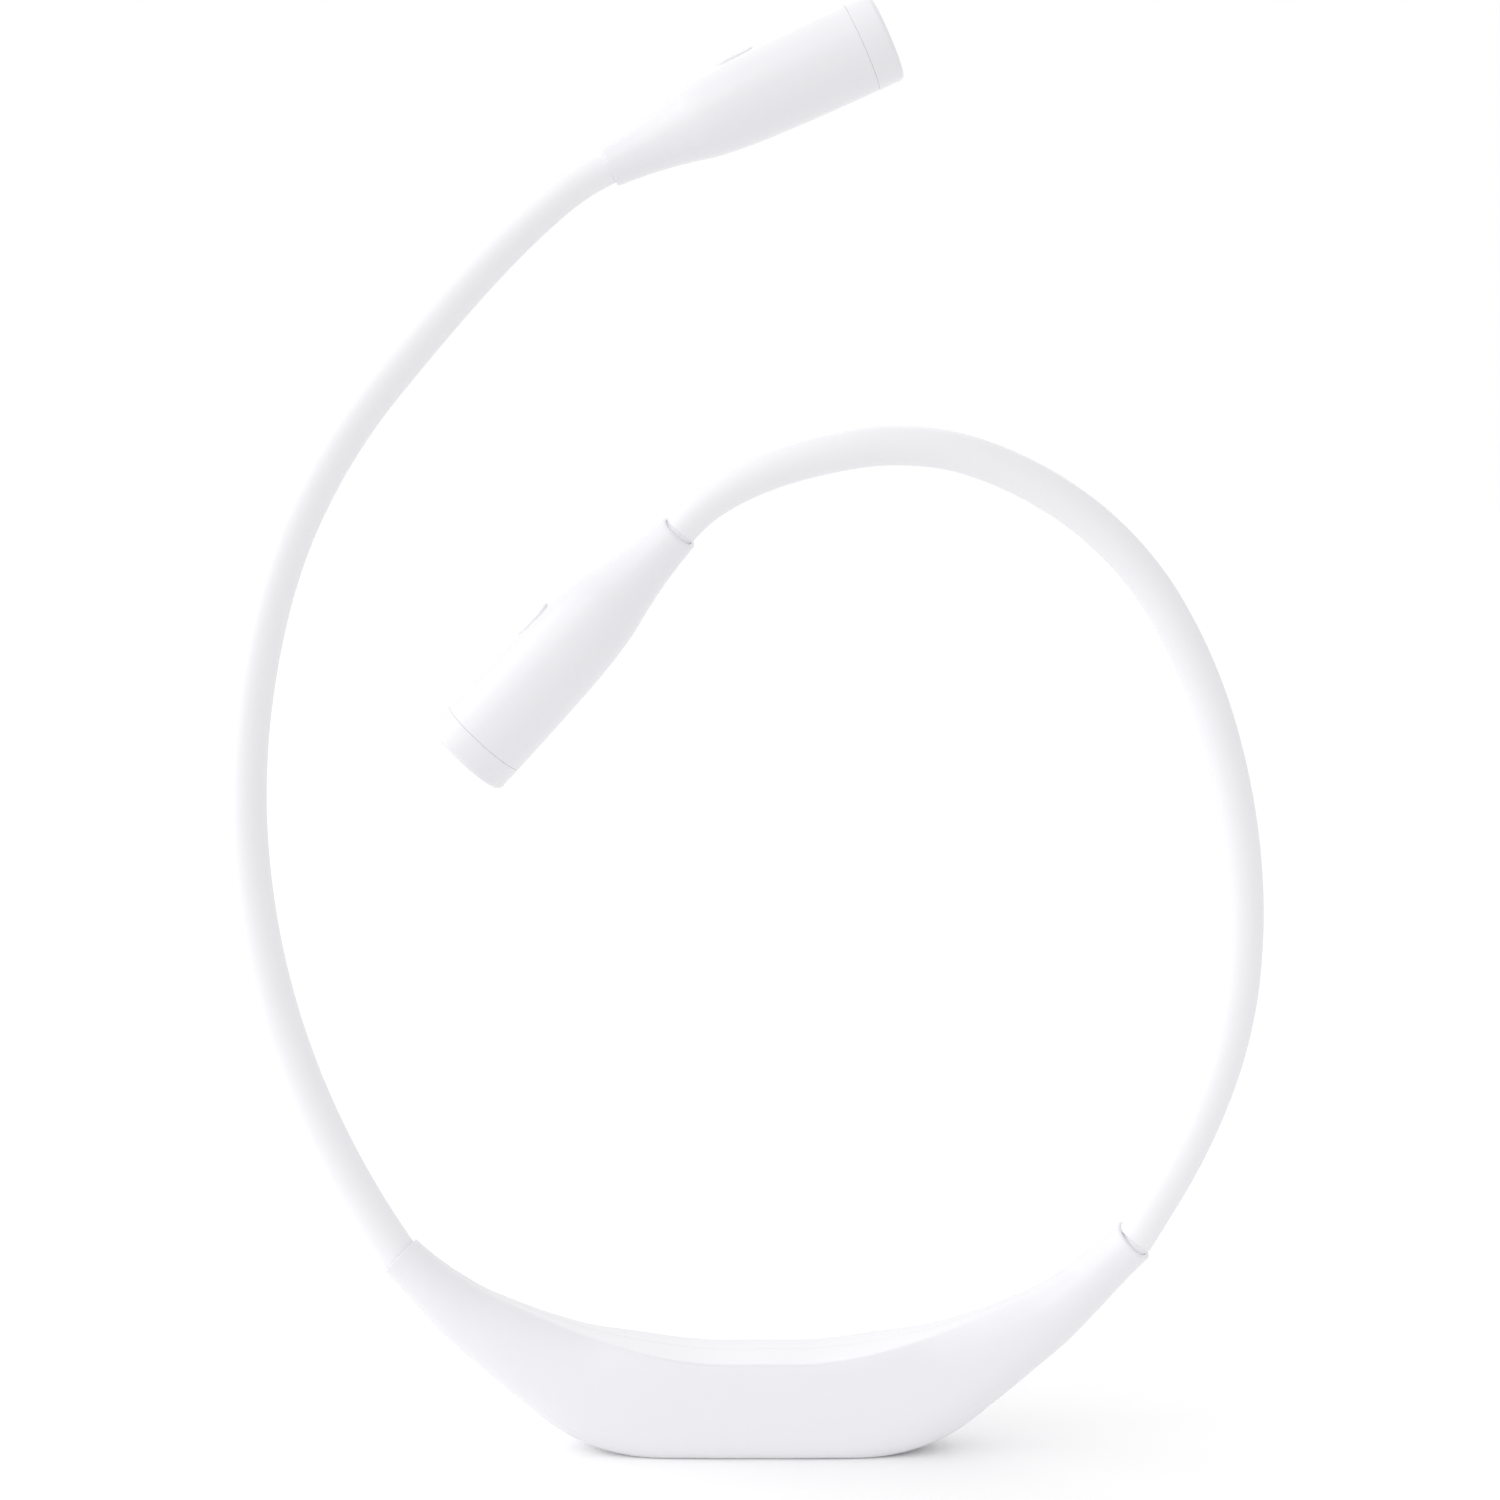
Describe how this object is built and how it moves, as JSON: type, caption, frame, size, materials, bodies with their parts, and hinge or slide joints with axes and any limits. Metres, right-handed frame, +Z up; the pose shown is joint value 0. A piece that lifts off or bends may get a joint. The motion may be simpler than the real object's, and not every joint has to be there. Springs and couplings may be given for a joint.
{
  "type": "neck reading light",
  "caption": "Wearable reading light: a crescent battery housing that stands on its flat outer edge, with a bendable sleeved arm from each end and a button-switched spot head on each arm",
  "frame": {"origin": "middle of the flat outer edge of the crescent housing that it stands on", "axes": "+Z up, from the housing towards the heads; +X along the housing towards the longer collar; +Y away from the plain front face, out of the rear shell"},
  "size_m": [0.2077, 0.0444, 0.2936],
  "materials": {
    "white_plastic": "smooth white moulding, satin gloss",
    "white_silicone": "white silicone, soft satin",
    "steel": "bare steel",
    "brass": "plain brass",
    "wire_jacket": "black wire jacket",
    "cell_wrap": "steel can in a blue wrap",
    "circuit_board": "green board",
    "switch_body": "black moulding",
    "button_plastic": "white moulding",
    "frosted_lens": "frosted clear acrylic",
    "bright_plating": "bright metallised plastic",
    "led_phosphor": "yellow phosphor"
  },
  "bodies": {
    "housing": {"housing_front_shell": "white_plastic", "housing_rear_shell": "white_plastic", "battery_cell": "cell_wrap", "charging_board": "circuit_board", "charging_socket": "steel", "charge_light": "frosted_lens", "left_housing_screw": "steel", "right_housing_screw": "steel", "left_sleeve_root": "white_silicone", "left_gooseneck_root": "steel", "left_wire_root": "wire_jacket", "left_anchor_ferrule": "brass", "right_sleeve_root": "white_silicone", "right_gooseneck_root": "steel", "right_wire_root": "wire_jacket", "right_anchor_ferrule": "brass"},
    "left_arm_lower": {"left_sleeve_lower": "white_silicone", "left_gooseneck_lower": "steel", "left_wire_lower": "wire_jacket"},
    "left_arm_middle": {"left_sleeve_middle": "white_silicone", "left_gooseneck_middle": "steel", "left_wire_middle": "wire_jacket"},
    "left_arm_upper": {"left_sleeve_upper": "white_silicone", "left_gooseneck_upper": "steel", "left_wire_upper": "wire_jacket"},
    "left_head": {"left_sleeve_tip": "white_silicone", "left_gooseneck_tip": "steel", "left_wire_tip": "wire_jacket", "left_head_barrel": "white_plastic", "left_head_bezel": "white_plastic", "left_head_lens": "frosted_lens", "left_head_reflector": "bright_plating", "left_head_led_board": "circuit_board", "left_head_led": "led_phosphor", "left_head_ferrule": "brass", "left_head_switch": "switch_body", "left_head_switch_board": "circuit_board"},
    "left_button": {"left_head_button": "button_plastic"},
    "right_arm_lower": {"right_sleeve_lower": "white_silicone", "right_gooseneck_lower": "steel", "right_wire_lower": "wire_jacket"},
    "right_arm_middle": {"right_sleeve_middle": "white_silicone", "right_gooseneck_middle": "steel", "right_wire_middle": "wire_jacket"},
    "right_arm_upper": {"right_sleeve_upper": "white_silicone", "right_gooseneck_upper": "steel", "right_wire_upper": "wire_jacket"},
    "right_head": {"right_sleeve_tip": "white_silicone", "right_gooseneck_tip": "steel", "right_wire_tip": "wire_jacket", "right_head_barrel": "white_plastic", "right_head_bezel": "white_plastic", "right_head_lens": "frosted_lens", "right_head_reflector": "bright_plating", "right_head_led_board": "circuit_board", "right_head_led": "led_phosphor", "right_head_ferrule": "brass", "right_head_switch": "switch_body", "right_head_switch_board": "circuit_board"},
    "right_button": {"right_head_button": "button_plastic"}
  },
  "joints": [
    {"name": "left_arm_spread", "type": "hinge", "parent": "housing", "child": "left_arm_lower", "pos_m": [-0.08581, 0.00039, 0.06193], "axis": [0.0134, 0.9995, -0.0269], "range_deg": [-30, 12]},
    {"name": "left_arm_sway", "type": "hinge", "parent": "left_arm_lower", "child": "left_arm_middle", "pos_m": [-0.10289, 0.00413, 0.1245], "axis": [-0.9981, 0, -0.0618], "range_deg": [-25, 25]},
    {"name": "left_arm_curl", "type": "hinge", "parent": "left_arm_middle", "child": "left_arm_upper", "pos_m": [-0.09253, 0.00945, 0.18832], "axis": [-0.0312, 0.9969, -0.072], "range_deg": [-30, 15]},
    {"name": "left_head_tilt", "type": "hinge", "parent": "left_arm_upper", "child": "left_head", "pos_m": [-0.05198, 0.01351, 0.24215], "axis": [-0.6988, 0, 0.7153], "range_deg": [-35, 35]},
    {"name": "left_button_press", "type": "slide", "parent": "left_head", "child": "left_button", "axis": [0.4147, 0, -0.91], "range_m": [0, 0.0005], "stiffness_N_per_m": 800},
    {"name": "right_arm_spread", "type": "hinge", "parent": "housing", "child": "right_arm_lower", "pos_m": [0.08814, -0.00034, 0.06496], "axis": [-0.0107, -0.9997, -0.0239], "range_deg": [-30, 12]},
    {"name": "right_arm_sway", "type": "hinge", "parent": "right_arm_lower", "child": "right_arm_middle", "pos_m": [0.09563, -0.00354, 0.12775], "axis": [0.9878, 0, 0.1558], "range_deg": [-25, 25]},
    {"name": "right_arm_curl", "type": "hinge", "parent": "right_arm_middle", "child": "right_arm_upper", "pos_m": [0.06967, -0.0081, 0.18525], "axis": [0.0489, -0.9976, -0.048], "range_deg": [-25, 25]},
    {"name": "right_head_tilt", "type": "hinge", "parent": "right_arm_upper", "child": "right_head", "pos_m": [0.00873, -0.01159, 0.20019], "axis": [-0.3259, 0, 0.9454], "range_deg": [-35, 35]},
    {"name": "right_button_press", "type": "slide", "parent": "right_head", "child": "right_button", "axis": [0.7314, 0, -0.682], "range_m": [0, 0.0005], "stiffness_N_per_m": 800}
  ]
}
